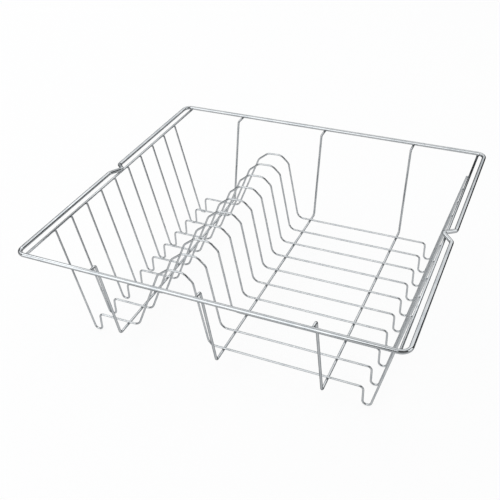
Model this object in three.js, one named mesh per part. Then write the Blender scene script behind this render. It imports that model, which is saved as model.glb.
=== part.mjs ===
import * as THREE from 'three';

// A wire dish drainer, welded from sixteen bent wires.
// Two side rails and three cross wires are welded to the inside of a thick rim wire. Ten plate wires
// hang between the rails. Each one has a foot at both ends and a hoop, and the ten hoops make the
// plate rack.
// Millimetres. +X is to the right, +Y to the back and +Z up. The origin is on the surface that the
// feet stand on, under the middle of the rim.

// Wire gauges, measured across the flats of each wire's section
const rimWire = 5;
const railWire = 3;
const crossWire = 3;
const plateWire = 2.4;
const weldGap = 0.12; // between two wires where a weld joins them

// Rim, measured between wire centres
const rimLength = 450; // left to right
const rimDepth = 418; // front to back
const rimHeight = 144; // wire centre above the surface
const rimCornerRadius = 10.5;
const notchHalfWidth = 12.5; // the notch is a V in the middle of each short side
const notchBendRadius = 5;
const notchTipRadius = 3;
const notchReach = 3.2; // how far the corner of the V runs past the rail's centre

// Side rails, which run front to back between the long sides of the rim
const railInset = 9.3; // rail centre in from the rim's centre
const railDrop = 2.7; // rail centre below the rim's centre

// Cross wires, which run front to back under the floor and up to the rim
const leftCrossGap = 15; // from the hoops' left feet out to the left cross wire
const middleCrossGap = 18; // from the hoops' right feet out to the middle cross wire
const crossDrop = 1.7; // wire ends below the rim's centre
const crossStub = 16; // from the rim's centre in to the top bend
const crossInset = 41; // from the rim's centre in to the bottom bend
const crossTopRadius = 3.5;
const crossBottomRadius = 5;

// Plate wires, which run left to right
const plateCount = 10;
const endPlateInset = 60; // from the rim's front and back wire in to the first and last plate wire
const basketShift = 2; // plate wires and cross wires stand this far to the front in the rim
const plateTopRise = 0.4; // wire end above the rail's centre
const floorHeight = 26.5; // wire centre above the surface
const footInset = 35.8; // from the rail's centre in to the foot's outer corner
const footWidth = 9.2;
const footRadius = 4.6;
const legRadius = 5;

// Hoop of a plate wire
const leftFloorRun = 56.7; // from the left leg to the hoop's left foot
const hoopWidth = 96.4; // at the floor
const hoopHeight = 98; // wire centre above the floor wire's centre
const hoopFootRadius = 10;
const hoopShoulderRadius = 9.5;
const hoopTopRadius = 11;
// Corners of the hoop between its two feet: across its width from the left, and up its height
const hoopCornerShares = [[0.367, 0.872], [0.518, 0.992], [0.724, 1], [0.842, 0.891]];

// Facets
const rimSides = 12;
const wireSides = 8;
const rimBendStep = Math.PI / 12;
const wireBendStep = Math.PI / 6;

// Places that several wires share
const railX = rimLength / 2 - railInset;
const railZ = rimHeight - railDrop;
const crossTopZ = rimHeight - crossDrop;
const crossFloorZ = floorHeight - (plateWire + crossWire) / 2 - weldGap;
const platePitch = (rimDepth - 2 * endPlateInset) / (plateCount - 1);
const footX = railX - footInset;
const legX = footX - footWidth;
const hoopLeftX = leftFloorRun - legX;
const hoopRightX = hoopLeftX + hoopWidth;

const chrome = { color: 0xc9cdd0, roughness: 0.18, metalness: 1 };

// Replaces each sharp corner of a path by an arc. A corner is a point with its bend radius, and an
// arc takes at most half of the shorter leg beside it. Every point of the result is a station of the wire.
function bendPath(corners, closed, step) {
  const stations = [];
  const count = corners.length;
  corners.forEach(({ at, radius }, i) => {
    const isEnd = !closed && (i === 0 || i === count - 1);
    if (isEnd) {
      stations.push(at.clone());
      return;
    }
    const before = corners[(i + count - 1) % count].at.clone().sub(at);
    const after = corners[(i + 1) % count].at.clone().sub(at);
    const longest = Math.min(before.length(), after.length()) / 2;
    before.normalize();
    after.normalize();
    const half = before.angleTo(after) / 2;
    const setback = Math.min(radius / Math.tan(half), longest);
    const bendRadius = setback * Math.tan(half);
    const centre = before.clone().add(after).normalize().multiplyScalar(bendRadius / Math.sin(half)).add(at);
    const start = before.multiplyScalar(setback).add(at).sub(centre);
    const finish = after.multiplyScalar(setback).add(at).sub(centre);
    const turn = Math.PI - 2 * half;
    const steps = Math.max(1, Math.round(turn / step));
    for (let k = 0; k <= steps; k += 1) {
      const share = k / steps;
      const station = start.clone().multiplyScalar(Math.sin((1 - share) * turn) / Math.sin(turn));
      station.addScaledVector(finish, Math.sin(share * turn) / Math.sin(turn));
      stations.push(station.add(centre));
    }
  });
  return stations;
}

// Distance from the centre of a wire's section to its corners
function cornerRadius(gauge, sides) {
  return gauge / 2 / Math.cos(Math.PI / sides);
}

// Sweeps a regular polygon along a path, with a mitre at every station. The path lies in the plane
// that planeNormal is square to, or near it. Flats of the section face along planeNormal and square
// to it, so straight runs have level flats. An open wire gets flat ends.
function wireGeometry(stations, gauge, sides, planeNormal, closed) {
  const corner = cornerRadius(gauge, sides);
  const positions = [];
  const indices = [];
  const count = stations.length;
  stations.forEach((station, i) => {
    const previous = stations[closed ? (i + count - 1) % count : Math.max(i - 1, 0)];
    const next = stations[closed ? (i + 1) % count : Math.min(i + 1, count - 1)];
    const into = station.clone().sub(previous).normalize();
    const out = next.clone().sub(station).normalize();
    const tangent = into.clone().add(out).normalize();
    const mitre = 1 / (into.lengthSq() > 0 ? tangent.dot(into) : tangent.dot(out));
    const side = new THREE.Vector3().crossVectors(planeNormal, tangent).normalize();
    const upright = new THREE.Vector3().crossVectors(tangent, side);
    for (let k = 0; k < sides; k += 1) {
      const angle = (2 * Math.PI * (k + 0.5)) / sides;
      const point = station.clone();
      point.addScaledVector(side, corner * Math.cos(angle) * mitre);
      point.addScaledVector(upright, corner * Math.sin(angle));
      positions.push(point.x, point.y, point.z);
    }
  });
  const spans = closed ? count : count - 1;
  for (let i = 0; i < spans; i += 1) {
    const here = i * sides;
    const ahead = ((i + 1) % count) * sides;
    for (let k = 0; k < sides; k += 1) {
      const turned = (k + 1) % sides;
      indices.push(here + k, here + turned, ahead + turned);
      indices.push(here + k, ahead + turned, ahead + k);
    }
  }
  if (!closed) {
    const last = (count - 1) * sides;
    for (let k = 1; k < sides - 1; k += 1) {
      indices.push(0, k + 1, k);
      indices.push(last, last + k, last + k + 1);
    }
  }
  const geometry = new THREE.BufferGeometry();
  geometry.setAttribute('position', new THREE.Float32BufferAttribute(positions, 3));
  geometry.setIndex(indices);
  geometry.computeVertexNormals();
  return geometry;
}

function wireMesh(name, geometry) {
  const mesh = new THREE.Mesh(geometry, new THREE.MeshStandardMaterial(chrome));
  mesh.name = name;
  return mesh;
}

// Height of a notch's tip over the rim. The arms of the V rise just enough to pass over the rail.
function notchRise() {
  const apart = cornerRadius(rimWire, rimSides) + cornerRadius(railWire, wireSides) + weldGap;
  const reach = Math.hypot(railInset, railDrop);
  const slope = Math.asin(apart / reach) - Math.atan2(railDrop, railInset);
  return (railInset + notchReach) * Math.tan(slope);
}

// Rim: one wire bent to a rectangle, with a V notch in the middle of both short sides
function rim() {
  const x = rimLength / 2;
  const y = rimDepth / 2;
  const tipX = railX - notchReach;
  const tipZ = notchRise();
  const corner = (px, py, radius, pz = 0) => ({ at: new THREE.Vector3(px, py, pz), radius });
  const outline = [
    corner(-x, -y, rimCornerRadius),
    corner(x, -y, rimCornerRadius),
    corner(x, -notchHalfWidth, notchBendRadius),
    corner(tipX, 0, notchTipRadius, tipZ),
    corner(x, notchHalfWidth, notchBendRadius),
    corner(x, y, rimCornerRadius),
    corner(-x, y, rimCornerRadius),
    corner(-x, notchHalfWidth, notchBendRadius),
    corner(-tipX, 0, notchTipRadius, tipZ),
    corner(-x, -notchHalfWidth, notchBendRadius),
  ];
  const stations = bendPath(outline, true, rimBendStep);
  const up = new THREE.Vector3(0, 0, 1);
  const mesh = wireMesh('rim', wireGeometry(stations, rimWire, rimSides, up, true));
  mesh.position.z = rimHeight;
  return mesh;
}

// Where a wire stops that is butted against the inside of the rim: measured from the drainer's
// middle, with the wire's centre this far below the rim's
function buttedEnd(drop, gauge) {
  const shoulder = drop - gauge / 2;
  const apart = cornerRadius(rimWire, rimSides) + weldGap;
  return rimDepth / 2 - Math.sqrt(apart ** 2 - shoulder ** 2);
}

// Side rail: a straight wire, welded to both long sides of the rim and to the tip of its notch
function sideRail(name, x) {
  const endY = buttedEnd(railDrop, railWire);
  const stations = [new THREE.Vector3(0, -endY, 0), new THREE.Vector3(0, endY, 0)];
  const up = new THREE.Vector3(0, 0, 1);
  const mesh = wireMesh(name, wireGeometry(stations, railWire, wireSides, up, false));
  mesh.position.set(x, 0, railZ);
  return mesh;
}

// Cross wire: a short stub off the rim, a sloped wall, the floor, and the same again at the back
function crossWireMesh(name, x) {
  const endY = buttedEnd(crossDrop, crossWire);
  const topY = rimDepth / 2 - crossStub;
  const bottomY = rimDepth / 2 - crossInset;
  const drop = crossFloorZ - crossTopZ;
  const upright = (py, pz, radius) => ({ at: new THREE.Vector3(0, py, pz), radius });
  const outline = [
    upright(-endY, 0, 0),
    upright(-topY - basketShift, 0, crossTopRadius),
    upright(-bottomY - basketShift, drop, crossBottomRadius),
    upright(bottomY - basketShift, drop, crossBottomRadius),
    upright(topY - basketShift, 0, crossTopRadius),
    upright(endY, 0, 0),
  ];
  const stations = bendPath(outline, false, wireBendStep);
  const right = new THREE.Vector3(1, 0, 0);
  const mesh = wireMesh(name, wireGeometry(stations, crossWire, wireSides, right, false));
  mesh.position.set(x, 0, crossTopZ);
  return mesh;
}

// Plate wire: wall, foot, floor, hoop, floor, foot and wall, from the left rail to the right one
function plateWireStations() {
  const topX = railX - (railWire + plateWire) / 2 - weldGap;
  const topZ = railZ + plateTopRise;
  const footZ = plateWire / 2;
  const upright = (px, pz, radius) => ({ at: new THREE.Vector3(px, 0, pz), radius });
  const hoopCorners = hoopCornerShares.map(([across, up], i) => {
    const isShoulder = i === 0 || i === hoopCornerShares.length - 1;
    const radius = isShoulder ? hoopShoulderRadius : hoopTopRadius;
    return upright(hoopLeftX + hoopWidth * across, floorHeight + hoopHeight * up, radius);
  });
  const outline = [
    upright(-topX, topZ, 0),
    upright(-footX, footZ, footRadius),
    upright(-legX, footZ, footRadius),
    upright(-legX, floorHeight, legRadius),
    upright(hoopLeftX, floorHeight, hoopFootRadius),
    ...hoopCorners,
    upright(hoopRightX, floorHeight, hoopFootRadius),
    upright(legX, floorHeight, legRadius),
    upright(legX, footZ, footRadius),
    upright(footX, footZ, footRadius),
    upright(topX, topZ, 0),
  ];
  return bendPath(outline, false, wireBendStep);
}

const drainer = new THREE.Group();

drainer.add(rim());
drainer.add(sideRail('side_rail_left', -railX));
drainer.add(sideRail('side_rail_right', railX));

// The left and middle cross wires hold the floor beside the hoops, and the right one mirrors the left
const leftCrossX = hoopLeftX - leftCrossGap;
drainer.add(crossWireMesh('cross_wire_left', leftCrossX));
drainer.add(crossWireMesh('cross_wire_middle', hoopRightX + middleCrossGap));
drainer.add(crossWireMesh('cross_wire_right', -leftCrossX));

const stations = plateWireStations();
for (let i = 0; i < plateCount; i += 1) {
  const back = new THREE.Vector3(0, 1, 0);
  const geometry = wireGeometry(stations, plateWire, wireSides, back, false);
  const mesh = wireMesh(`plate_wire_${String(i + 1).padStart(2, '0')}`, geometry);
  mesh.position.y = endPlateInset - rimDepth / 2 - basketShift + i * platePitch;
  drainer.add(mesh);
}

export default drainer;
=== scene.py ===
"""A wire dish drainer in bright chrome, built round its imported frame.

Every wire is formed as a wire bender forms it: a round blank is pushed straight and turned about
a pin, again and again, until it has the shape that its node holds. The welds, the cropped wire
ends and the butt joint of the rim are added, and all of it gets a chrome finish. The feet stand
on a pale floor under soft lamps.

All lengths are metres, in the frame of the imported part: +X to the right, +Y to the back, +Z up.
"""

import logging
import math
from collections.abc import Iterable, Sequence
from dataclasses import dataclass, field
from enum import Enum

import bpy
import numpy as np
from mathutils import Matrix, Quaternion, Vector

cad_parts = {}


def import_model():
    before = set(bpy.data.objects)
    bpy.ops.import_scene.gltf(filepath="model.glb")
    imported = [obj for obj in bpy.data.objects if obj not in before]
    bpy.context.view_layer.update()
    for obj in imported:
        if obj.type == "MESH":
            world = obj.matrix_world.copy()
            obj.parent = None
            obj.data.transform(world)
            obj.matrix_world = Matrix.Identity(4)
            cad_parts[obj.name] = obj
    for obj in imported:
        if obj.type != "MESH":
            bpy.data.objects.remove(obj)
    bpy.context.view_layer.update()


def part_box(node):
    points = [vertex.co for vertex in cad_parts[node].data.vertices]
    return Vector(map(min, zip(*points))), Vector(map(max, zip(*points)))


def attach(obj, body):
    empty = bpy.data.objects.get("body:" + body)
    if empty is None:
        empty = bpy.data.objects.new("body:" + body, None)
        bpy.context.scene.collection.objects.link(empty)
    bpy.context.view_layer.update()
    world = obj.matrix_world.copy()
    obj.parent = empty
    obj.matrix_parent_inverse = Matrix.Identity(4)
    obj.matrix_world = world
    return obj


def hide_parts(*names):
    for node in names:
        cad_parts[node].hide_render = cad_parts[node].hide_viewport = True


log = logging.getLogger("dish_drainer")

MM = 0.001
BODY = "root"
RUN_ATTRIBUTE = "wire_run"
NO_LENGTH = 1e-9  # stands in for a length of zero where a division needs one

SRGB_KNEE = 0.04045
SRGB_LINEAR_SLOPE = 12.92
SRGB_OFFSET = 0.055
SRGB_POWER = 2.4

X_AXIS = Vector((1, 0, 0))
Y_AXIS = Vector((0, 1, 0))
Z_AXIS = Vector((0, 0, 1))


class Side(Enum):
    """The two ends of an axis of the drainer, as the sign of that axis."""

    LOW = -1
    HIGH = 1


# Colours and nodes


def linear(hex_colour: str) -> tuple[float, float, float, float]:
    """Turns an sRGB hex colour to the linear colour that shaders take.

    Args:
        hex_colour: Six hex digits after a number sign.

    Returns:
        Red, green, blue and an alpha of 1.
    """

    def decode(share: float) -> float:
        """Turns one channel of a colour to linear light.

        Args:
            share: The channel in sRGB, from 0 to 1.

        Returns:
            The same channel in linear light.
        """
        if share <= SRGB_KNEE:
            return share / SRGB_LINEAR_SLOPE
        return ((share + SRGB_OFFSET) / (1 + SRGB_OFFSET)) ** SRGB_POWER

    red, green, blue = (decode(int(hex_colour[i : i + 2], 16) / 255) for i in (1, 3, 5))
    return red, green, blue, 1.0


def add_node(
    tree: bpy.types.NodeTree,
    kind: str,
    settings: dict[str, object] | None = None,
    inputs: dict[str, object] | None = None,
) -> bpy.types.Node:
    """Adds a node to a tree, with its settings and its links.

    Args:
        tree: The node tree of a material or of the world.
        kind: The node's type name.
        settings: Attributes of the node.
        inputs: A value for a named socket, or the output socket that it is linked to.

    Returns:
        The new node.
    """
    node = tree.nodes.new(kind)
    for name, value in (settings or {}).items():
        setattr(node, name, value)
    for name, value in (inputs or {}).items():
        socket = node.inputs[int(name)] if name.isdigit() else node.inputs[name]
        if isinstance(value, bpy.types.NodeSocket):
            tree.links.new(value, socket)
        else:
            socket.default_value = value
    return node


def empty_tree(name: str) -> tuple[bpy.types.Material, bpy.types.NodeTree]:
    """Makes a material that holds no nodes yet.

    Args:
        name: Name of the material.

    Returns:
        The material and its node tree.
    """
    material = bpy.data.materials.new(name)
    material.use_nodes = True
    material.node_tree.nodes.clear()
    return material, material.node_tree


@dataclass(frozen=True)
class ChromePlate:
    """Bright chrome over nickel, electroplated on steel wire.

    The eye sees a cool grey mirror that draws every wire as dark and white lines, with faint
    lines along the wire from the drawing die, and small soft patches where the polish is duller.

    Attributes:
        name: Name of the material.
        bright_hex: Colour where the polish is best.
        dull_hex: Colour of the duller patches.
        edge_hex: Tint of the wire's edges, which the eye meets at a glancing angle.
        roughness: Roughness where the polish is best.
        dull_roughness: Roughness of the duller patches.
        patch_size: Size of the noise cells that place the patches.
        patch_detail: Layers of finer noise in the patches.
        patch_range: Noise levels where a patch starts and where it is fully dull.
        die_line_length: Length of a line from the drawing die.
        die_line_width: Width of such a line.
        die_line_depth: Depth of such a line.
        die_line_detail: Layers of finer noise in the lines.
        die_line_strength: Share of the lines' depth that the polish has left.
        follows_wire: True where the lines follow the wire's run attribute.
    """

    name: str
    bright_hex: str = "#B5B8BA"
    dull_hex: str = "#ABAFB2"
    edge_hex: str = "#1E2124"
    roughness: float = 0.06
    dull_roughness: float = 0.14
    patch_size: float = 9 * MM
    patch_detail: float = 3.0
    patch_range: tuple[float, float] = (0.42, 0.66)
    die_line_length: float = 45 * MM
    die_line_width: float = 0.35 * MM  # drawn coarser than the real tenths of a millimetre
    die_line_depth: float = 0.006 * MM
    die_line_detail: float = 2.0
    die_line_strength: float = 0.6
    follows_wire: bool = True

    def material(self) -> bpy.types.Material:
        """Builds the finish.

        Returns:
            The material, which reads the wire's own run attribute or Object coordinates.
        """
        material, tree = empty_tree(self.name)
        place = add_node(tree, "ShaderNodeTexCoord").outputs["Object"]
        patches = add_node(
            tree,
            "ShaderNodeTexNoise",
            inputs={
                "Vector": place,
                "Scale": 1 / self.patch_size,
                "Detail": self.patch_detail,
            },
        )
        fresh, dull = self.patch_range
        dullness = add_node(
            tree,
            "ShaderNodeMapRange",
            {"interpolation_type": "SMOOTHSTEP"},
            {"Value": patches.outputs["Fac"], "From Min": fresh, "From Max": dull},
        ).outputs["Result"]
        colour = add_node(
            tree,
            "ShaderNodeMix",
            {"data_type": "RGBA"},
            {"Factor": dullness, "6": linear(self.bright_hex), "7": linear(self.dull_hex)},
        ).outputs[2]
        roughness = add_node(
            tree,
            "ShaderNodeMapRange",
            inputs={
                "Value": dullness,
                "To Min": self.roughness,
                "To Max": self.dull_roughness,
            },
        ).outputs["Result"]
        lines = add_node(
            tree,
            "ShaderNodeTexNoise",
            inputs={
                "Vector": self._line_vector(tree, place),
                "Scale": 1.0,
                "Detail": self.die_line_detail,
            },
        )
        bump = add_node(
            tree,
            "ShaderNodeBump",
            inputs={
                "Height": lines.outputs["Fac"],
                "Distance": self.die_line_depth,
                "Strength": self.die_line_strength,
            },
        )
        metal = add_node(
            tree,
            "ShaderNodeBsdfPrincipled",
            inputs={
                "Base Color": colour,
                "Metallic": 1.0,
                "Roughness": roughness,
                "Specular Tint": linear(self.edge_hex),
                "Normal": bump.outputs["Normal"],
            },
        )
        add_node(tree, "ShaderNodeOutputMaterial", inputs={"Surface": metal.outputs["BSDF"]})
        return material

    def _line_vector(
        self, tree: bpy.types.NodeTree, place: bpy.types.NodeSocket
    ) -> bpy.types.NodeSocket:
        """Scales the place on the wire so that one noise cell is one die line.

        Args:
            tree: The material's nodes.
            place: Object coordinates, for a piece that is no wire.

        Returns:
            The vector that the line noise reads.
        """
        along, across = 1 / self.die_line_length, 1 / self.die_line_width
        if not self.follows_wire:
            along, source = across, place
        else:
            source = add_node(
                tree, "ShaderNodeAttribute", {"attribute_name": RUN_ATTRIBUTE}
            ).outputs["Vector"]
        return add_node(
            tree, "ShaderNodeMapping", inputs={"Vector": source, "Scale": (along, across, across)}
        ).outputs["Vector"]


WIRE_CHROME = ChromePlate("chrome_on_drawn_wire")
RIM_CHROME = ChromePlate("chrome_on_rim_wire", patch_size=14 * MM, die_line_length=70 * MM)
WELD_CHROME = ChromePlate(
    "chrome_on_welds",
    roughness=0.16,
    dull_roughness=0.3,
    patch_size=1.5 * MM,
    follows_wire=False,
)


# Forming


def deselect_all() -> None:
    """Leaves nothing selected, because an operator acts on all that is."""
    bpy.ops.object.select_all(action="DESELECT")


def select_only(pieces: Iterable[bpy.types.Object]) -> None:
    """Selects these objects and makes the first one active.

    Args:
        pieces: The objects to select, at least one.
    """
    deselect_all()
    chosen = list(pieces)
    for piece in chosen:
        piece.select_set(True)
    bpy.context.view_layer.objects.active = chosen[0]


def settle(piece: bpy.types.Object) -> None:
    """Puts a piece's place into its mesh, so that its object sits unturned at the origin."""
    select_only([piece])
    bpy.ops.object.transform_apply(location=True, rotation=True, scale=True)


@dataclass(frozen=True)
class Corner:
    """A corner of a wire's outline, and the radius that its centre line is bent to there."""

    at: Vector
    radius: float = 0.0


@dataclass
class BentWire:
    """One round wire that lies in a plane, formed from end to end.

    Attributes:
        name: Name of the finished piece.
        gauge: Diameter of the wire.
        corners: Its outline, with the two ends, or with the butt joint of a closed wire first.
        normal: Direction square to the plane of the wire.
        closed: True where both ends meet in a butt joint.
        sides: Facets round the wire.
        bend_step: Largest turn between two rings of a bend.
        fewest_steps: Least number of turns that a bend is made in.
        end_round: Size of the rounding on a cropped end.
        end_segments: Facets of that rounding.
        collar_rise: How far the butt joint's collar stands proud of the wire.
        collar_length: Length of each flank of the collar.
        shortest_push: A straight run under this length is left out.
        face_reach: A cut face is centred within this distance of the wire's end.
        merge_distance: Vertices of the butt joint within this distance become one.
        crisp_angle: Edges sharper than this stay crisp.
    """

    name: str
    gauge: float
    corners: Sequence[Corner]
    normal: Vector
    closed: bool = False
    sides: int = 20
    bend_step: float = math.radians(7.5)
    fewest_steps: int = 2
    end_round: float = 0.3 * MM
    end_segments: int = 3
    collar_rise: float = 0.14 * MM
    collar_length: float = 0.8 * MM
    shortest_push: float = 1e-4 * MM
    face_reach: float = 0.05 * MM
    merge_distance: float = 0.01 * MM
    crisp_angle: float = math.radians(50)

    def form(self) -> bpy.types.Object:
        """Pushes and bends the blank along its outline.

        Returns:
            The finished wire, with its run attribute and its shading.
        """
        line = [self.corners[0].at.copy()]
        heading = (self.corners[1].at - self.corners[0].at).normalized()
        piece = self._blank(line[0], heading)
        if self.closed:
            line.append(self._taper(line[0], heading, 1 / self._collar_share()))
        after = list(self.corners[2:]) + ([self.corners[0]] if self.closed else [])
        for before, corner, following in zip(self.corners, self.corners[1:], after, strict=False):
            line += self._bend(line[-1], before.at, corner, following.at)
        self._finish_end(line)
        bpy.ops.object.mode_set(mode="OBJECT")
        settle(piece)
        self._shade(piece)
        self._mark_run(piece, line)
        return piece

    def _collar_share(self) -> float:
        """Size of the upset collar at the butt joint, as a share of the wire's own."""
        return 1 + 2 * self.collar_rise / self.gauge

    def _blank(self, start: Vector, heading: Vector) -> bpy.types.Object:
        """Adds the cut face that the wire grows from, and opens it in edit mode.

        Args:
            start: Centre of the wire's first end.
            heading: Direction of its first run.

        Returns:
            The object in edit mode, with its one face selected.
        """
        deselect_all()
        grow = self._collar_share() if self.closed else 1.0
        turn = Matrix([self.normal.cross(heading), self.normal, heading]).transposed().to_euler()
        bpy.ops.mesh.primitive_circle_add(
            vertices=self.sides,
            radius=grow * self.gauge / 2,
            fill_type="NGON",
            location=start,
            rotation=turn,
        )
        piece = bpy.context.object
        piece.name = self.name
        piece.data.name = self.name
        bpy.ops.object.mode_set(mode="EDIT")
        bpy.ops.mesh.select_mode(type="FACE")
        bpy.ops.mesh.select_all(action="SELECT")
        return piece

    def _push(self, offset: Vector) -> None:
        """Runs the wire straight on from its open face."""
        bpy.ops.mesh.extrude_region_move(TRANSFORM_OT_translate={"value": offset})

    def _taper(self, start: Vector, heading: Vector, share: float) -> Vector:
        """Makes one flank of the collar that the butt welder leaves.

        Args:
            start: Centre of the open face.
            heading: Direction of the wire there.
            share: Growth of the open face over the flank.

        Returns:
            The centre of the open face after it.
        """
        finish = start + heading * self.collar_length
        self._push(finish - start)
        bpy.ops.transform.resize(value=(share, share, share), center_override=finish)
        return finish

    def _bend(self, start: Vector, before: Vector, corner: Corner, after: Vector) -> list[Vector]:
        """Pushes the wire up to a corner and turns it about the corner's pin.

        Args:
            start: Where the wire has got to.
            before: The corner before this one.
            corner: This corner and its bend radius.
            after: The corner after it.

        Returns:
            Centre line points of the push and of the bend.
        """
        into = (corner.at - before).normalized()
        out = (after - corner.at).normalized()
        turn = into.angle(out)
        shorter_leg = min((corner.at - before).length, (after - corner.at).length)
        setback = min(corner.radius * math.tan(turn / 2), shorter_leg / 2)
        radius = setback / math.tan(turn / 2)
        axis = into.cross(out).normalized()
        arc_start = corner.at - into * setback
        centre = arc_start + axis.cross(into) * radius
        if (arc_start - start).length > self.shortest_push:
            self._push(arc_start - start)
        steps = max(self.fewest_steps, math.ceil(turn / self.bend_step))
        bpy.ops.mesh.spin(steps=steps, angle=-turn, center=centre, axis=axis)
        spoke = arc_start - centre
        return [
            centre + Matrix.Rotation(turn * k / steps, 3, axis) @ spoke for k in range(steps + 1)
        ]

    def _finish_end(self, line: list[Vector]) -> None:
        """Runs the wire to its last end and crops or joins its ends.

        Args:
            line: Centre line so far. It gets the last point.
        """
        last = self.corners[0].at if self.closed else self.corners[-1].at
        heading = (last - line[-1]).normalized()
        if not self.closed:
            self._push(last - line[-1])
            line.append(last)
            self._round_ends(line[0], last)
            return
        flank = last - heading * self.collar_length
        self._push(flank - line[-1])
        line.append(flank)
        line.append(self._taper(flank, heading, self._collar_share()))
        self._select_faces_at([last])
        bpy.ops.mesh.delete(type="ONLY_FACE")
        bpy.ops.mesh.select_all(action="SELECT")
        bpy.ops.mesh.remove_doubles(threshold=self.merge_distance)

    def _select_faces_at(self, centres: Sequence[Vector]) -> None:
        """Selects only the cut faces.

        Args:
            centres: Points that the cut faces are centred on.
        """
        piece = bpy.context.object
        bpy.ops.mesh.select_all(action="DESELECT")
        bpy.ops.object.mode_set(mode="OBJECT")
        for face in piece.data.polygons:
            centre = piece.matrix_world @ face.center
            face.select = any((centre - c).length < self.face_reach for c in centres)
        bpy.ops.object.mode_set(mode="EDIT")

    def _round_ends(self, first: Vector, last: Vector) -> None:
        """Takes the sharp edge off both cropped ends."""
        self._select_faces_at([first, last])
        bpy.ops.mesh.bevel(offset=self.end_round, segments=self.end_segments, affect="EDGES")

    def _shade(self, piece: bpy.types.Object) -> None:
        """Turns all faces outwards and shades the wire round, with crisp cropped ends.

        Args:
            piece: The formed wire.
        """
        select_only([piece])
        bpy.ops.object.mode_set(mode="EDIT")
        bpy.ops.mesh.select_all(action="SELECT")
        bpy.ops.mesh.normals_make_consistent(inside=False)
        bpy.ops.object.mode_set(mode="OBJECT")
        bpy.ops.object.shade_smooth_by_angle(angle=self.crisp_angle)

    def _mark_run(self, piece: bpy.types.Object, line: Sequence[Vector]) -> None:
        """Stores each vertex's place on the wire: its run from the end, and its offset across.

        Args:
            piece: The finished wire.
            line: Points of its centre line, end to end.
        """
        points = np.array([tuple(p) for p in line])
        starts, spans = points[:-1], np.diff(points, axis=0)
        lengths = np.linalg.norm(spans, axis=1)
        runs = np.concatenate([[0.0], np.cumsum(lengths)[:-1]])
        vertices = np.zeros(3 * len(piece.data.vertices))
        piece.data.vertices.foreach_get("co", vertices)
        vertices = vertices.reshape(-1, 3)
        offsets = vertices[:, None, :] - starts[None]
        shares = np.einsum("vsk,sk->vs", offsets, spans) / np.maximum(lengths**2, NO_LENGTH**2)
        shares = np.clip(shares, 0, 1)
        gaps = offsets - shares[:, :, None] * spans[None]
        nearest = np.argmin(np.einsum("vsk,vsk->vs", gaps, gaps), axis=1)
        rows = np.arange(len(vertices))
        headings = (spans / np.maximum(lengths, NO_LENGTH)[:, None])[nearest]
        normal = np.array(tuple(self.normal))
        sides = np.cross(normal, headings)
        gap = gaps[rows, nearest]
        run = runs[nearest] + shares[rows, nearest] * lengths[nearest]
        values = np.stack([run, np.einsum("vk,vk->v", gap, sides), gap @ normal], axis=1)
        attribute = piece.data.attributes.new(RUN_ATTRIBUTE, "FLOAT_VECTOR", "POINT")
        attribute.data.foreach_set("vector", values.astype(np.float32).ravel())


def hand_over(piece: bpy.types.Object, finish: bpy.types.Material, nodes: Sequence[str]) -> None:
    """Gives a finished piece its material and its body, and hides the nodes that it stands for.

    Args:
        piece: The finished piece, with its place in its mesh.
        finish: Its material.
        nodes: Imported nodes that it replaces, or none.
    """
    piece.data.materials.clear()
    piece.data.materials.append(finish)
    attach(piece, BODY)
    if nodes:
        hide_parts(*nodes)
    vertices = len(piece.data.vertices)
    log.info("%s: %d vertices, stands for %s", piece.name, vertices, nodes or "no node")


# Sub-assemblies


@dataclass
class Rim:
    """The thick wire round the top, bent to a rectangle with a V notch in both short sides."""

    finish: bpy.types.Material
    node: str = "rim"
    gauge: float = 5 * MM
    corner_radius: float = 10.5 * MM
    notch_half_width: float = 12.5 * MM
    notch_bend_radius: float = 5 * MM
    notch_tip_radius: float = 3 * MM
    notch_depth: float = 12.5 * MM  # from the wire's centre to the sharp corner of the V
    notch_rise: float = 2.29 * MM  # how far that corner stands above the wire beside the notch
    sides: int = 28
    half_length: float = field(init=False)
    half_depth: float = field(init=False)
    height: float = field(init=False)

    def __post_init__(self) -> None:
        """Reads the rectangle of the wire's centre line from the frame."""
        low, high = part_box(self.node)
        self.half_length = (high.x - low.x - self.gauge) / 2
        self.half_depth = (high.y - low.y - self.gauge) / 2
        self.height = low.z + self.gauge / 2

    def _corner(self, x: float, y: float, radius: float, rise: float = 0.0) -> Corner:
        """A corner of the outline, at the rim's height or above it."""
        return Corner(Vector((x, y, self.height + rise)), radius)

    def outline(self) -> list[Corner]:
        """Lays out the rim's corners.

        Returns:
            The corners, from the butt joint in the middle of the back, by the left side.
        """
        x, y = self.half_length, self.half_depth
        tip = x - self.notch_depth
        mouth = self.notch_half_width
        return [
            self._corner(0, y, 0),
            self._corner(-x, y, self.corner_radius),
            self._corner(-x, mouth, self.notch_bend_radius),
            self._corner(-tip, 0, self.notch_tip_radius, self.notch_rise),
            self._corner(-x, -mouth, self.notch_bend_radius),
            self._corner(-x, -y, self.corner_radius),
            self._corner(x, -y, self.corner_radius),
            self._corner(x, -mouth, self.notch_bend_radius),
            self._corner(tip, 0, self.notch_tip_radius, self.notch_rise),
            self._corner(x, mouth, self.notch_bend_radius),
            self._corner(x, y, self.corner_radius),
        ]

    def arm_offset(self, x: float) -> float:
        """How far from the middle of a short side the notch's arms pass over a place x out."""
        tip = self.half_length - self.notch_depth
        return self.notch_half_width * (x - tip) / self.notch_depth

    def build(self) -> None:
        """Forms the rim and dresses it."""
        wire = BentWire(
            "rim_wire", self.gauge, self.outline(), Z_AXIS, closed=True, sides=self.sides
        )
        hand_over(wire.form(), self.finish, [self.node])


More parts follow.
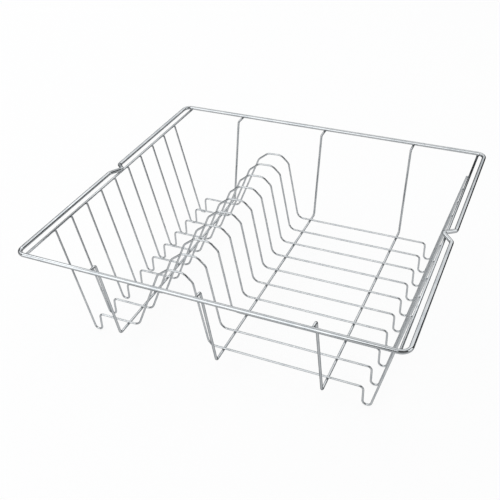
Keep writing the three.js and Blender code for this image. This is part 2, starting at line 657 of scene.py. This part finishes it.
@dataclass
class SideRails:
    """The two straight wires inside the short sides, which carry the ends of the plate wires."""

    finish: bpy.types.Material
    names: dict[Side, str] = field(
        default_factory=lambda: {Side.LOW: "side_rail_left", Side.HIGH: "side_rail_right"}
    )

    def build(self) -> None:
        """Forms both rails and dresses them."""
        for node in self.names.values():
            low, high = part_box(node)
            centre = (low + high) / 2
            ends = [Corner(Vector((centre.x, y, centre.z))) for y in (low.y, high.y)]
            wire = BentWire(f"{node}_wire", high.z - low.z, ends, Z_AXIS)
            hand_over(wire.form(), self.finish, [node])


@dataclass
class CrossWires:
    """The three wires that run front to back under the floor and up to the rim."""

    finish: bpy.types.Material
    nodes: Sequence[str] = ("cross_wire_left", "cross_wire_middle", "cross_wire_right")
    stubs: dict[Side, float] = field(  # from the wire's end to the bend at the top of the wall
        default_factory=lambda: {Side.LOW: 11.3 * MM, Side.HIGH: 15.3 * MM}
    )
    wall_run: float = 25 * MM  # from the bend at the top of the wall in to the bend at its foot
    top_radius: float = 3.5 * MM
    bottom_radius: float = 5 * MM

    def outline(self, node: str) -> list[Corner]:
        """Lays out one cross wire.

        Args:
            node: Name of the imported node.

        Returns:
            Its corners, from its front end to its back end.
        """
        low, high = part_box(node)
        gauge = high.x - low.x
        x = (low.x + high.x) / 2
        top, floor = high.z - gauge / 2, low.z + gauge / 2

        def half(side: Side) -> list[Corner]:
            """Lays out one half of the wire.

            Args:
                side: The half to lay out.

            Returns:
                Its corners, from the end inwards.
            """
            end = low.y if side is Side.LOW else high.y
            bend = end - side.value * self.stubs[side]
            foot = bend - side.value * self.wall_run
            return [
                Corner(Vector((x, end, top))),
                Corner(Vector((x, bend, top)), self.top_radius),
                Corner(Vector((x, foot, floor)), self.bottom_radius),
            ]

        return half(Side.LOW) + half(Side.HIGH)[::-1]

    def build(self) -> None:
        """Forms the three wires and dresses them, from left to right."""
        for node in self.nodes:
            low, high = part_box(node)
            wire = BentWire(f"{node}_wire", high.x - low.x, self.outline(node), X_AXIS)
            hand_over(wire.form(), self.finish, [node])


@dataclass
class PlateWires:
    """The ten thin wires that run left to right: wall, foot, floor, hoop, floor, foot and wall."""

    finish: bpy.types.Material
    count: int = 10
    floor_height: float = 26.5 * MM
    foot_inset: float = 32.98 * MM  # from the wire's end in to the outer corner of the foot
    foot_width: float = 9.2 * MM
    foot_radius: float = 4.6 * MM
    leg_radius: float = 5 * MM
    left_floor_run: float = 56.7 * MM
    hoop_width: float = 96.4 * MM
    hoop_height: float = 98 * MM
    hoop_foot_radius: float = 10 * MM
    hoop_shoulder_radius: float = 9.5 * MM
    hoop_top_radius: float = 11 * MM
    hoop_corner_shares: Sequence[tuple[float, float]] = (
        (0.367, 0.872),
        (0.518, 0.992),
        (0.724, 1.0),
        (0.842, 0.891),
    )

    def node(self, index: int) -> str:
        """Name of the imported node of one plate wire, counted from the front."""
        return f"plate_wire_{index + 1:02d}"

    def outline(self, node: str) -> list[Corner]:
        """Lays out one plate wire.

        Args:
            node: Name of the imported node.

        Returns:
            Its corners, from its left end to its right end.
        """
        low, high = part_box(node)
        gauge = high.y - low.y
        y = (low.y + high.y) / 2
        end_x, end_z = self._end(low, high, gauge)
        foot_x = end_x - self.foot_inset
        leg_x = foot_x - self.foot_width
        foot_z = low.z + gauge / 2
        hoop_x = self.left_floor_run - leg_x

        def corner(x: float, z: float, radius: float) -> Corner:
            """A corner in the plane of this wire."""
            return Corner(Vector((x, y, z)), radius)

        radii = (
            self.hoop_shoulder_radius,
            self.hoop_top_radius,
            self.hoop_top_radius,
            self.hoop_shoulder_radius,
        )
        hoop = [
            corner(
                hoop_x + self.hoop_width * across,
                self.floor_height + self.hoop_height * up,
                radius,
            )
            for (across, up), radius in zip(self.hoop_corner_shares, radii, strict=True)
        ]
        return [
            corner(-end_x, end_z, 0),
            corner(-foot_x, foot_z, self.foot_radius),
            corner(-leg_x, foot_z, self.foot_radius),
            corner(-leg_x, self.floor_height, self.leg_radius),
            corner(hoop_x, self.floor_height, self.hoop_foot_radius),
            *hoop,
            corner(hoop_x + self.hoop_width, self.floor_height, self.hoop_foot_radius),
            corner(leg_x, self.floor_height, self.leg_radius),
            corner(leg_x, foot_z, self.foot_radius),
            corner(foot_x, foot_z, self.foot_radius),
            corner(end_x, end_z, 0),
        ]

    def _end(self, low: Vector, high: Vector, gauge: float) -> tuple[float, float]:
        """Centre of the wire's right end, worked out from the box of its node.

        Args:
            low: Lowest corner of the node's box.
            high: Highest corner of it.
            gauge: Diameter of the wire.

        Returns:
            X and Z of the end. The left end mirrors it.
        """
        rise = high.z - low.z - gauge / 2
        slope = math.atan2(self.foot_inset, rise)
        end_x = high.x - gauge / 2 * math.cos(slope)
        end_z = high.z - gauge / 2 * math.sin(slope)
        return end_x, end_z

    def build(self) -> None:
        """Forms the ten wires and dresses them, from the front to the back."""
        for index in range(self.count):
            node = self.node(index)
            low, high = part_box(node)
            name = f"plate_wire_round_{index + 1:02d}"
            wire = BentWire(name, high.y - low.y, self.outline(node), Y_AXIS)
            hand_over(wire.form(), self.finish, [node])


@dataclass(frozen=True)
class WeldShape:
    """One weld nugget: round rings along its axis, smallest where the metal drew in.

    Attributes:
        name: Name of the pattern that the nuggets are copied from.
        rings: Height and radius of each ring, from one end to the other.
        sides: Facets round the nugget.
        crisp_angle: Edges sharper than this stay crisp.
    """

    name: str
    rings: Sequence[tuple[float, float]]
    sides: int = 16
    crisp_angle: float = math.radians(70)

    def model(self) -> bpy.types.Object:
        """Draws the nugget out ring by ring, with its axis upwards.

        Returns:
            The pattern, with its middle at the origin.
        """
        deselect_all()
        height, radius = self.rings[0]
        bpy.ops.mesh.primitive_circle_add(
            vertices=self.sides, radius=radius, fill_type="NGON", location=(0, 0, height)
        )
        nugget = bpy.context.object
        nugget.name = self.name
        bpy.ops.object.mode_set(mode="EDIT")
        bpy.ops.mesh.select_mode(type="FACE")
        bpy.ops.mesh.select_all(action="SELECT")
        for (low, inner), (high, outer) in zip(self.rings, self.rings[1:], strict=False):
            rise = (0, 0, high - low)
            bpy.ops.mesh.extrude_region_move(TRANSFORM_OT_translate={"value": rise})
            share = outer / inner
            bpy.ops.transform.resize(value=(share, share, 1), center_override=(0, 0, high))
        bpy.ops.mesh.select_all(action="SELECT")
        bpy.ops.mesh.normals_make_consistent(inside=False)
        bpy.ops.object.mode_set(mode="OBJECT")
        settle(nugget)
        bpy.ops.object.shade_smooth_by_angle(angle=self.crisp_angle)
        return nugget


@dataclass(frozen=True)
class WeldPlace:
    """Where a nugget sits, and the direction that its axis takes."""

    at: Vector
    axis: Vector

    def matrix(self) -> Matrix:
        """Place and turn of the nugget, as one matrix."""
        turn = Z_AXIS.rotation_difference(self.axis).to_matrix().to_4x4()
        return Matrix.Translation(self.at) @ turn


def in_metres(rings: Sequence[tuple[float, float]]) -> tuple[tuple[float, float], ...]:
    """Turns the heights and radii of rings from millimetres to metres."""
    return tuple((height * MM, radius * MM) for height, radius in rings)


CROSSING = WeldShape(
    "crossing_nugget",
    in_metres(((-0.7, 1.1), (-0.38, 1.0), (-0.12, 0.93), (0.12, 0.93), (0.38, 1.0), (0.7, 1.1))),
)
BUTT = WeldShape(
    "butt_nugget",
    in_metres(((-1.0, 1.44), (-0.7, 1.56), (-0.1, 1.74), (0.5, 1.8), (1.1, 1.6), (1.5, 1.1))),
)


@dataclass
class Welds:
    """The resistance welds: nuggets where wires cross, and at wire ends butted against the rim.

    Attributes:
        finish: Material of the nuggets.
        rim: The rim, which knows where its notches are.
        rails: Nodes of the side rails.
        crosses: Nodes of the cross wires.
        plates: Nodes of the plate wires.
        gap: Clearance between the solids of two welded wires.
        rail_drop: How far a plate wire's weld lies below the middle of its rail.
        end_rise: How far a butt weld's middle lies above the wire that it ends.
        end_reach: How far that middle lies past the wire's end.
    """

    finish: bpy.types.Material
    rim: Rim
    rails: Sequence[str]
    crosses: Sequence[str]
    plates: Sequence[str]
    gap: float = 0.12 * MM
    rail_drop: float = 0.5 * MM
    end_rise: float = 0.25 * MM
    end_reach: float = 0.3 * MM

    def build(self) -> None:
        """Copies the nuggets to all the welds, a row at a time."""
        crossing, butt = CROSSING.model(), BUTT.model()
        plate_y = [(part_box(node)[0].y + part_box(node)[1].y) / 2 for node in self.plates]
        for node in self.crosses:
            self._row(f"floor_welds_{node}", crossing, self._on_cross_wire(node, plate_y))
        for node in self.rails:
            self._row(f"wall_welds_{node}", crossing, self._on_rail(node, plate_y))
            self._row(f"notch_welds_{node}", crossing, self._under_notch(node))
        ends = [self._wire_ends(node) for node in (*self.rails, *self.crosses)]
        for side, name in ((0, "rim_welds_front"), (1, "rim_welds_back")):
            self._row(name, butt, [pair[side] for pair in ends])
        select_only([crossing, butt])
        bpy.ops.object.delete()

    def _on_cross_wire(self, node: str, plate_y: Sequence[float]) -> list[WeldPlace]:
        """Finds the welds on top of a cross wire, one under each plate wire.

        Args:
            node: Node of the cross wire.
            plate_y: Where the plate wires stand, from front to back.

        Returns:
            The places of the nuggets.
        """
        low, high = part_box(node)
        x, gauge = (low.x + high.x) / 2, high.x - low.x
        z = low.z + gauge + self.gap / 2
        return [WeldPlace(Vector((x, y, z)), Z_AXIS) for y in plate_y]

    def _on_rail(self, node: str, plate_y: Sequence[float]) -> list[WeldPlace]:
        """Finds the welds on the inner side of a rail, one for each plate wire.

        Args:
            node: Node of the rail.
            plate_y: Where the plate wires stand, from front to back.

        Returns:
            The places of the nuggets.
        """
        low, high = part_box(node)
        inner = high.x if high.x < 0 else low.x
        inwards = -math.copysign(1, inner)
        x = inner + inwards * self.gap / 2
        z = (low.z + high.z) / 2 - self.rail_drop
        return [WeldPlace(Vector((x, y, z)), X_AXIS) for y in plate_y]

    def _under_notch(self, node: str) -> list[WeldPlace]:
        """Finds the welds on top of a rail, one under each arm of the notch that passes over it.

        Args:
            node: Node of the rail.

        Returns:
            The places of the nuggets.
        """
        low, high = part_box(node)
        x = (low.x + high.x) / 2
        y = self.rim.arm_offset(abs(x))
        z = high.z + self.gap / 2
        return [WeldPlace(Vector((x, side.value * y, z)), Z_AXIS) for side in Side]

    def _wire_ends(self, node: str) -> list[WeldPlace]:
        """Finds the welds at both ends of a wire that is butted against the rim.

        Args:
            node: Node of the wire.

        Returns:
            The places of the front and the back nugget.
        """
        low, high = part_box(node)
        gauge = high.x - low.x
        x, z = (low.x + high.x) / 2, high.z - gauge / 2 + self.end_rise
        return [
            WeldPlace(Vector((x, end + side.value * self.end_reach, z)), side.value * Y_AXIS)
            for side, end in ((Side.LOW, low.y), (Side.HIGH, high.y))
        ]

    def _row(self, name: str, pattern: bpy.types.Object, places: Sequence[WeldPlace]) -> None:
        """Copies a nugget to each place and joins the copies to one piece.

        Args:
            name: Name of the piece.
            pattern: The nugget to copy.
            places: Where the copies go.
        """
        copies = []
        for place in places:
            select_only([pattern])
            bpy.ops.object.duplicate()
            copy = bpy.context.object
            copy.matrix_world = place.matrix()
            settle(copy)
            copies.append(copy)
        select_only(copies)
        bpy.ops.object.join()
        piece = bpy.context.object
        piece.name = piece.data.name = name
        settle(piece)
        hand_over(piece, self.finish, [])


# Studio


@dataclass(frozen=True)
class Softbox:
    """A soft lamp: a lit panel that points at the drainer.

    Attributes:
        name: Name of the lamp.
        at: Centre of the panel.
        aim: Point that it faces.
        width: Width of the panel.
        height: Height of the panel.
        radiance: Brightness of the panel, where 1 shows white.
    """

    name: str
    at: tuple[float, float, float]
    aim: tuple[float, float, float]
    width: float
    height: float
    radiance: float

    def build(self) -> None:
        """Adds the lamp, with the power that gives its panel that brightness."""
        deselect_all()
        bpy.ops.object.light_add(type="AREA", location=self.at)
        lamp = bpy.context.object
        lamp.name = self.name
        lamp.data.shape = "RECTANGLE"
        lamp.data.size = self.width
        lamp.data.size_y = self.height
        lamp.data.energy = self.radiance * math.pi * self.width * self.height
        heading = Vector(self.aim) - Vector(self.at)
        lamp.rotation_euler = heading.to_track_quat("-Z", "Y").to_euler()


@dataclass(frozen=True)
class PaleFloor:
    """A matt white paper sweep: a round floor whose edge rises in a low cove.

    The eye sees plain white with a faint soft shadow. The camera and the reflections in the
    chrome see the paper mostly as plain white, however the lamps fall on it.

    Attributes:
        name: Name of the floor and of its paper.
        hex_colour: Colour of the paper.
        glow_hex: The plain white.
        own_light: Share of plain white in what the camera and the chrome see.
        radius: Radius of the flat part.
        cove_radius: Radius of the rise round it.
        cove_steps: Facets of the rise.
        cove_top_share: Share of its plain white that the top of the rise keeps.
        sides: Facets round the floor.
        drop: How far the floor lies below the feet, so that they don't share its plane.
        crisp_angle: Edges sharper than this stay crisp.
    """

    name: str = "pale_floor"
    hex_colour: str = "#F4F5F6"
    glow_hex: str = "#FFFFFF"
    own_light: float = 0.88
    radius: float = 12.0
    cove_radius: float = 3.0
    cove_steps: int = 9
    cove_top_share: float = 0.2
    sides: int = 96
    drop: float = 0.05 * MM
    crisp_angle: float = math.radians(40)

    def build(self) -> None:
        """Adds the floor, with its raised edge and its paper."""
        deselect_all()
        bpy.ops.mesh.primitive_circle_add(
            vertices=self.sides, radius=self.radius, fill_type="NGON", location=(0, 0, -self.drop)
        )
        floor = bpy.context.object
        floor.name = self.name
        self._raise_edge()
        bpy.ops.object.shade_smooth_by_angle(angle=self.crisp_angle)
        floor.data.materials.append(self._paper())

    def _raise_edge(self) -> None:
        """Draws the edge of the active floor outwards and up, in a quarter round."""
        bpy.ops.object.mode_set(mode="EDIT")
        bpy.ops.mesh.select_mode(type="FACE")
        bpy.ops.mesh.select_all(action="SELECT")
        bpy.ops.mesh.duplicate()
        bpy.ops.mesh.delete(type="ONLY_FACE")
        bpy.ops.mesh.select_all(action="DESELECT")
        bpy.ops.mesh.select_mode(type="EDGE")
        bpy.ops.mesh.select_non_manifold(use_boundary=False, use_multi_face=False, use_verts=False)
        reach, height = self.radius, 0.0
        for k in range(1, self.cove_steps + 1):
            turn = math.pi / 2 * k / self.cove_steps
            next_reach = self.radius + self.cove_radius * math.sin(turn)
            next_height = self.cove_radius * (1 - math.cos(turn))
            rise = (0, 0, next_height - height)
            share = next_reach / reach
            bpy.ops.mesh.extrude_edges_move(TRANSFORM_OT_translate={"value": rise})
            bpy.ops.transform.resize(value=(share, share, 1), center_override=(0, 0, 0))
            reach, height = next_reach, next_height
        bpy.ops.mesh.select_all(action="SELECT")
        bpy.ops.mesh.remove_doubles(threshold=MM)
        bpy.ops.mesh.normals_make_consistent(inside=False)
        bpy.ops.object.mode_set(mode="OBJECT")

    def _paper(self) -> bpy.types.Material:
        """Makes the matt paper.

        Returns:
            The material.
        """
        material, tree = empty_tree(self.name)
        colour = linear(self.hex_colour)
        matt = add_node(tree, "ShaderNodeBsdfDiffuse", inputs={"Color": colour})
        rays = add_node(tree, "ShaderNodeLightPath").outputs
        seen = add_node(
            tree,
            "ShaderNodeMath",
            {"operation": "MAXIMUM"},
            {"0": rays["Is Camera Ray"], "1": rays["Is Glossy Ray"]},
        ).outputs["Value"]
        seen = add_node(
            tree,
            "ShaderNodeMath",
            {"operation": "MAXIMUM"},
            {"0": seen, "1": rays["Is Transmission Ray"]},
        ).outputs["Value"]
        share = add_node(
            tree,
            "ShaderNodeMath",
            {"operation": "MULTIPLY"},
            {"0": seen, "1": self.own_light},
        ).outputs["Value"]
        place = add_node(tree, "ShaderNodeTexCoord").outputs["Object"]
        height = add_node(tree, "ShaderNodeSeparateXYZ", inputs={"Vector": place}).outputs["Z"]
        glow_level = add_node(
            tree,
            "ShaderNodeMapRange",
            {"interpolation_type": "SMOOTHSTEP"},
            {
                "Value": height,
                "From Min": 0.0,
                "From Max": self.cove_radius,
                "To Min": 1.0,
                "To Max": self.cove_top_share,
            },
        ).outputs["Result"]
        glow = add_node(
            tree,
            "ShaderNodeEmission",
            inputs={"Color": linear(self.glow_hex), "Strength": glow_level},
        )
        paper = add_node(
            tree,
            "ShaderNodeMixShader",
            inputs={"0": share, "1": matt.outputs["BSDF"], "2": glow.outputs["Emission"]},
        )
        add_node(tree, "ShaderNodeOutputMaterial", inputs={"Surface": paper.outputs["Shader"]})
        return material


@dataclass(frozen=True)
class DarkCard:
    """A black card just outside the picture, which draws a dark line along every bright wire.

    It is seen by the chrome alone, so it takes no light from the floor.

    Attributes:
        name: Name of the card.
        at: Centre of the card.
        aim: Point that it faces.
        width: Width of the card.
        height: Height of the card.
        turn: Degrees that it is turned in its own plane.
        hex_colour: Colour of the card.
    """

    name: str
    at: tuple[float, float, float]
    aim: tuple[float, float, float]
    width: float
    height: float
    turn: float = 0.0
    hex_colour: str = "#202226"

    def build(self) -> None:
        """Adds the card, hidden from the camera, from matt surfaces and from shadows."""
        deselect_all()
        bpy.ops.mesh.primitive_plane_add(size=1, location=self.at)
        card = bpy.context.object
        card.name = self.name
        card.scale = (self.width, self.height, 1)
        heading = Vector(self.aim) - Vector(self.at)
        turn = Quaternion(Z_AXIS, math.radians(self.turn))
        card.rotation_euler = (heading.to_track_quat("Z", "Y") @ turn).to_euler()
        card.visible_camera = False
        card.visible_diffuse = False
        card.visible_shadow = False
        material, tree = empty_tree(self.name)
        matt = add_node(tree, "ShaderNodeBsdfDiffuse", inputs={"Color": linear(self.hex_colour)})
        add_node(tree, "ShaderNodeOutputMaterial", inputs={"Surface": matt.outputs["BSDF"]})
        card.data.materials.append(material)


@dataclass(frozen=True)
class PhotoCamera:
    """The camera at the photograph's place, found from the drainer's own wires.

    Attributes:
        at: Place of the camera.
        yaw: Angle to the left of the drainer's depth.
        pitch: Angle below the horizon.
        roll: Angle about the line of sight.
        lens_mm: Focal length in millimetres, as a camera takes it.
        sensor_mm: Width of the sensor in millimetres.
        nearest: Distance that the picture starts at.
    """

    at: tuple[float, float, float] = (0.31085, -0.74029, 0.63197)
    yaw: float = math.radians(24.73)
    pitch: float = math.radians(35.03)
    roll: float = math.radians(-2.075)
    lens_mm: float = 54.63
    sensor_mm: float = 36.0
    nearest: float = 10 * MM

    def build(self) -> None:
        """Adds the camera and makes it the scene's own."""
        ahead = Vector(
            (
                -math.sin(self.yaw) * math.cos(self.pitch),
                math.cos(self.yaw) * math.cos(self.pitch),
                -math.sin(self.pitch),
            )
        )
        level = Vector((math.cos(self.yaw), math.sin(self.yaw), 0))
        above = level.cross(ahead)
        right = level * math.cos(self.roll) + above * math.sin(self.roll)
        up = above * math.cos(self.roll) - level * math.sin(self.roll)
        turn = Matrix([right, up, -ahead]).transposed().to_4x4()
        data = bpy.data.cameras.new("photo_camera")
        data.lens = self.lens_mm
        data.sensor_width = self.sensor_mm
        data.clip_start = self.nearest
        camera = bpy.data.objects.new("photo_camera", data)
        camera.matrix_world = Matrix.Translation(self.at) @ turn
        bpy.context.scene.collection.objects.link(camera)
        bpy.context.scene.camera = camera


@dataclass
class Studio:
    """The pale floor, the soft lamps, the surroundings and the camera."""

    floor: PaleFloor = PaleFloor()
    camera: PhotoCamera = PhotoCamera()
    cards: Sequence[DarkCard] = (
        DarkCard("right_black_card", (0.93, 0.73, 0.27), (0.68, 0.49, 1.0), 0.95, 1.32),
        DarkCard(
            "front_black_card", (0.354, -0.912, 0.004), (0.354, -0.912, 1.0), 1.9, 0.85, turn=24.7
        ),
    )
    lamps: Sequence[Softbox] = (
        Softbox("front_softbox", (-0.75, -1.6, 1.15), (0, 0, 0.1), 1.6, 2.3, 2.1),
        Softbox("right_softbox", (2.3, 0.25, 1.3), (0, 0.1, 0.2), 1.7, 1.4, 1.9),
        Softbox("left_softbox", (-2.2, 0.1, 2.0), (0.1, 0, 0.2), 1.9, 1.5, 1.7),
        Softbox("corner_softbox", (-1.7, 1.7, 0.5), (0, 0, 0.2), 1.9, 0.8, 0.9),
        Softbox("back_softbox", (-0.1, 2.1, 1.75), (-0.1, 0, 1.6), 4.0, 1.9, 1.45),
        Softbox("top_softbox", (-0.45, 0.65, 2.4), (-0.45, 0.65, 0), 3.5, 2.7, 1.0),
    )
    sky_hex: str = "#FFFFFF"
    sky_strength: float = 0.08

    def build(self) -> None:
        """Sets up the stage and the plain view transform."""
        self.camera.build()
        self.floor.build()
        for card in self.cards:
            card.build()
        for lamp in self.lamps:
            lamp.build()
        world = bpy.data.worlds.new("studio_sky")
        bpy.context.scene.world = world
        world.use_nodes = True
        tree = world.node_tree
        tree.nodes.clear()
        sky = add_node(
            tree,
            "ShaderNodeBackground",
            inputs={"Color": linear(self.sky_hex), "Strength": self.sky_strength},
        )
        add_node(tree, "ShaderNodeOutputWorld", inputs={"Surface": sky.outputs["Background"]})
        bpy.context.scene.view_settings.view_transform = "Standard"


def main() -> None:
    """Builds the drainer round its frame, piece by piece."""
    logging.basicConfig(level=logging.INFO, format="%(name)s: %(message)s")
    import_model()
    deselect_all()
    Studio().build()
    wire_finish = WIRE_CHROME.material()
    rim = Rim(RIM_CHROME.material())
    rails = SideRails(wire_finish)
    crosses = CrossWires(wire_finish)
    plates = PlateWires(wire_finish)
    for wires in (rim, rails, crosses, plates):
        wires.build()
    Welds(
        WELD_CHROME.material(),
        rim,
        rails=tuple(rails.names.values()),
        crosses=crosses.nodes,
        plates=[plates.node(index) for index in range(plates.count)],
    ).build()


if __name__ == "__main__":
    main()
